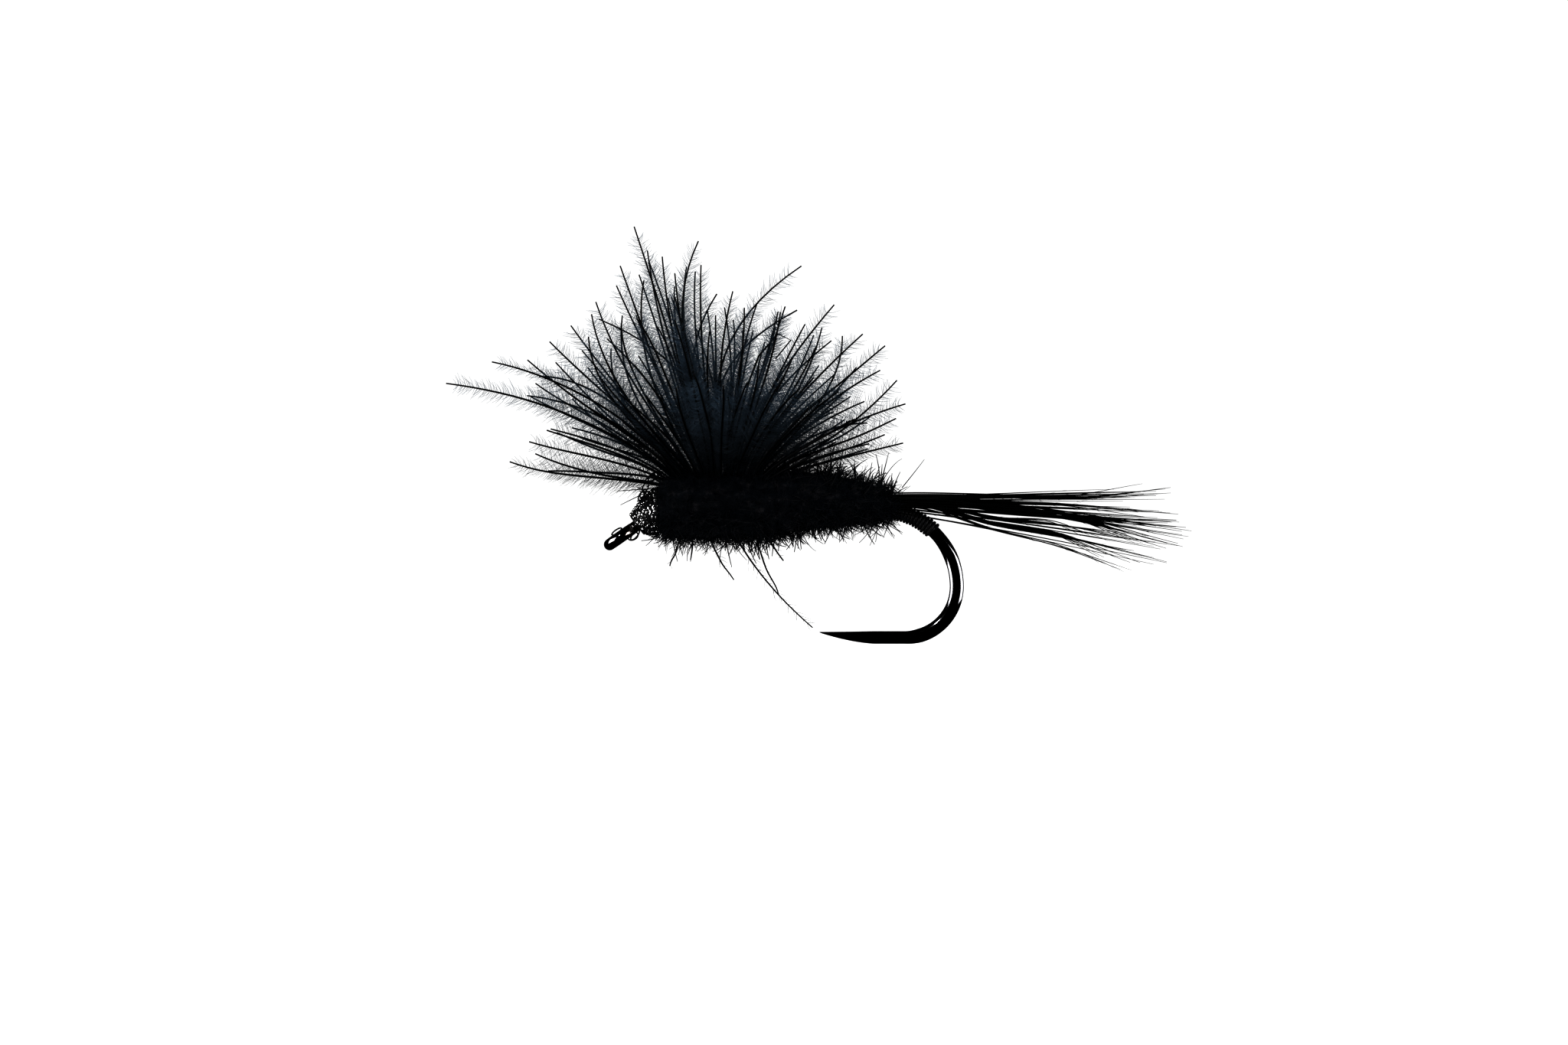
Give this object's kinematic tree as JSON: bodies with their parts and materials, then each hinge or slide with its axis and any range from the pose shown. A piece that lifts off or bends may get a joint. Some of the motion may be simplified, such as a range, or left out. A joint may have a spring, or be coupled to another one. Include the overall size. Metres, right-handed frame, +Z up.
{
  "type": "dry fly",
  "caption": "Artificial fishing fly on a barbless hook, with a fan of soft feather barbs above a dubbed body and a tail of hackle fibres.",
  "frame": {"origin": "centre of the hook's eye", "axes": "+X along the shank from the eye towards the tail, +Z up from the shank through the wing, +Y to the fly's far side, so that the hook lies in the XZ plane"},
  "size_m": [0.0255, 0.0109, 0.0145],
  "materials": {
    "hook_wire": "black nickel plate, glossy",
    "thread": "waxed black tying thread",
    "hackle": "stiff glossy black fibre",
    "dubbing": "matted black fur",
    "guard_hair": "stiff black hair",
    "plume": "soft slate-black feather",
    "cement": "clear gloss varnish over black thread"
  },
  "bodies": {
    "root": {"hook": "hook_wire", "thread_base": "thread", "rear_thread_wraps": "thread", "tail_fibres": "hackle", "tail_tie_in_wraps": "thread", "abdomen_dubbing": "dubbing", "abdomen_guard_hairs": "guard_hair", "thorax_dubbing": "dubbing", "thorax_guard_hairs": "guard_hair", "wing_tie_in_wraps": "thread", "wing_plume_near": "plume", "wing_plume_far": "plume", "wing_plume_near_side": "plume", "wing_plume_far_side": "plume", "stray_barbs": "plume", "thread_dam": "thread", "head_wraps": "thread", "whip_finish": "thread", "head_cement": "cement", "head_cut_ends": "guard_hair"}
  },
  "joints": []
}
